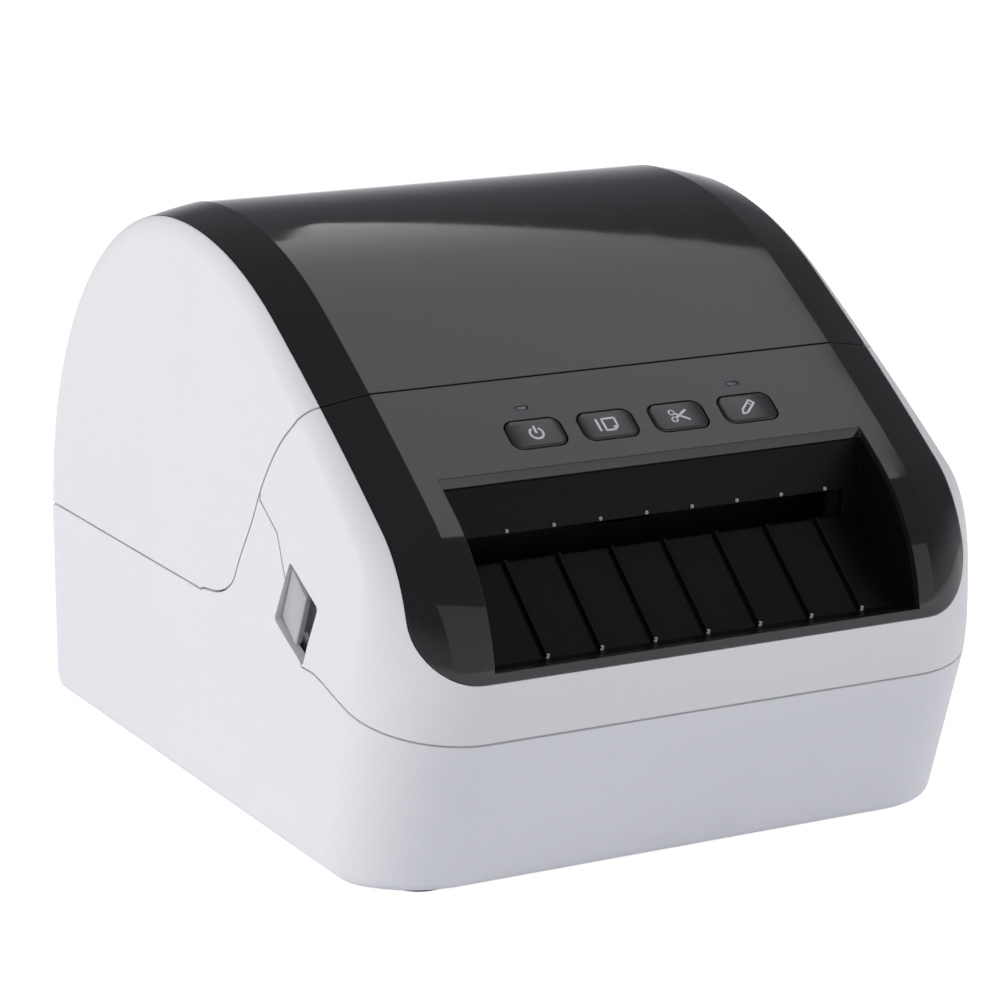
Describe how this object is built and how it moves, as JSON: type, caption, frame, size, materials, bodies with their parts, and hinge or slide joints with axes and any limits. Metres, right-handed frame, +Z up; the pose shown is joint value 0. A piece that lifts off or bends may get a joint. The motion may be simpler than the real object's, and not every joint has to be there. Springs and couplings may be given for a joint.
{
  "type": "label printer",
  "caption": "Wide desktop label printer with a hinged round cover over a label roll, a thermal head, a geared platen, a guillotine cutter and a recessed front tray.",
  "frame": {"origin": "middle of the footprint, on the surface that the feet stand on", "axes": "+X to the right seen from the front, +Y to the rear, +Z up; the front faces -Y"},
  "size_m": [0.17, 0.2195, 0.148],
  "materials": {
    "white_plastic": "fine satin moulding",
    "black_gloss": "polished",
    "dark_plastic": "satin",
    "button_plastic": "polished",
    "grey_plastic": "satin",
    "ivory_plastic": "natural acetal",
    "lens": "clear",
    "rubber": "matt",
    "steel": "zinc plated",
    "blade_steel": "ground",
    "aluminium": "extruded",
    "brass": "turned",
    "paper": "coated label stock",
    "cardboard": "wound board",
    "circuit_board": "solder mask",
    "head_ceramic": "glazed ceramic",
    "motor_steel": "grey"
  },
  "bodies": {
    "base": {"base_case": "white_plastic", "front_frame": "white_plastic", "front_panel": "black_gloss", "label_tray": "black_gloss", "panel_lights": "lens", "lever_pivots": "steel", "rubber_feet": "rubber", "case_screws": "steel", "hinge_pins": "steel", "roll_bin": "dark_plastic", "left_side_plate": "steel", "right_side_plate": "steel", "label_web": "paper", "platen_bushes": "brass", "idler_stud": "steel", "feed_motor": "motor_steel", "cutter_frame": "steel", "fixed_blade": "blade_steel", "crank_stud": "steel", "cutter_motor": "motor_steel", "keypad_board": "circuit_board", "key_switches": "steel", "main_board": "circuit_board", "board_parts": "dark_plastic", "power_supply": "circuit_board", "power_inlet": "dark_plastic", "usb_port": "steel"},
    "cover": {"cover_shell": "white_plastic", "cover_top_panel": "black_gloss", "cover_liner": "dark_plastic", "latch_bar": "steel", "print_head": "head_ceramic", "head_heatsink": "aluminium", "head_springs": "steel", "head_screws": "steel"},
    "power_key": {"power_button": "button_plastic"},
    "feed_key": {"feed_button": "button_plastic"},
    "cut_key": {"cut_button": "button_plastic"},
    "edit_key": {"edit_button": "button_plastic"},
    "left_lever": {"left_release_lever": "grey_plastic"},
    "right_lever": {"right_release_lever": "grey_plastic"},
    "roll": {"roll_spool": "grey_plastic", "roll_core": "cardboard", "label_roll": "paper"},
    "platen": {"platen_shaft": "steel", "platen_rubber": "rubber", "platen_gear": "ivory_plastic"},
    "idler": {"idler_gear": "ivory_plastic"},
    "feed_pinion": {"motor_pinion": "brass"},
    "crank": {"crank_gear": "ivory_plastic"},
    "blade": {"moving_blade": "blade_steel"},
    "blade_pinion": {"cutter_pinion": "brass"}
  },
  "joints": [
    {"name": "cover_hinge", "type": "hinge", "parent": "base", "child": "cover", "pos_m": [0, 0.1045, 0.06], "axis": [-1, 0, 0], "range_deg": [0, 75]},
    {"name": "power_press", "type": "slide", "parent": "base", "child": "power_key", "axis": [0, 0.573, -0.8196], "range_m": [0, 0.0008], "stiffness_N_per_m": 900, "springref_m": -0.0008},
    {"name": "feed_press", "type": "slide", "parent": "base", "child": "feed_key", "axis": [0, 0.573, -0.8196], "range_m": [0, 0.0008], "stiffness_N_per_m": 900, "springref_m": -0.0008},
    {"name": "cut_press", "type": "slide", "parent": "base", "child": "cut_key", "axis": [0, 0.573, -0.8196], "range_m": [0, 0.0008], "stiffness_N_per_m": 900, "springref_m": -0.0008},
    {"name": "edit_press", "type": "slide", "parent": "base", "child": "edit_key", "axis": [0, 0.573, -0.8196], "range_m": [0, 0.0008], "stiffness_N_per_m": 900, "springref_m": -0.0008},
    {"name": "left_lever_pull", "type": "hinge", "parent": "base", "child": "left_lever", "pos_m": [-0.078, -0.05, 0.042], "axis": [1, 0, 0], "range_deg": [0, 8], "stiffness_Nm_per_rad": 0.4, "springref_deg": -5.73},
    {"name": "right_lever_pull", "type": "hinge", "parent": "base", "child": "right_lever", "pos_m": [0.078, -0.05, 0.042], "axis": [1, 0, 0], "range_deg": [0, 8], "stiffness_Nm_per_rad": 0.4, "springref_deg": -5.73},
    {"name": "roll_spin", "type": "hinge", "parent": "base", "child": "roll", "pos_m": [0, 0.036, 0.062], "axis": [1, 0, 0], "continuous": true},
    {"name": "platen_spin", "type": "hinge", "parent": "base", "child": "platen", "pos_m": [0, -0.038, 0.08], "axis": [1, 0, 0], "continuous": true},
    {"name": "idler_spin", "type": "hinge", "parent": "base", "child": "idler", "pos_m": [0.066, -0.02479, 0.05531], "axis": [1, 0, 0], "continuous": true},
    {"name": "feed_pinion_spin", "type": "hinge", "parent": "base", "child": "feed_pinion", "pos_m": [0.066, -0.03, 0.036], "axis": [1, 0, 0], "continuous": true},
    {"name": "crank_turn", "type": "hinge", "parent": "base", "child": "crank", "pos_m": [-0.02, -0.05935, 0.056], "axis": [0, -1, 0], "range_deg": [-1, 71]},
    {"name": "blade_lift", "type": "slide", "parent": "base", "child": "blade", "axis": [0, 0, 1], "range_m": [0, 0.00803]},
    {"name": "blade_pinion_spin", "type": "hinge", "parent": "base", "child": "blade_pinion", "pos_m": [-0.0416, -0.05935, 0.056], "axis": [0, -1, 0], "range_deg": [-203, 3]}
  ],
  "couplings": [
    {"joint": "platen_spin", "follows": "roll_spin", "ratio": 5.25},
    {"joint": "idler_spin", "follows": "roll_spin", "ratio": -6.0577},
    {"joint": "feed_pinion_spin", "follows": "roll_spin", "ratio": 11.25},
    {"joint": "crank_turn", "follows": "blade_lift", "rad_per_m": 152.14},
    {"joint": "blade_pinion_spin", "follows": "blade_lift", "rad_per_m": -434.7}
  ]
}
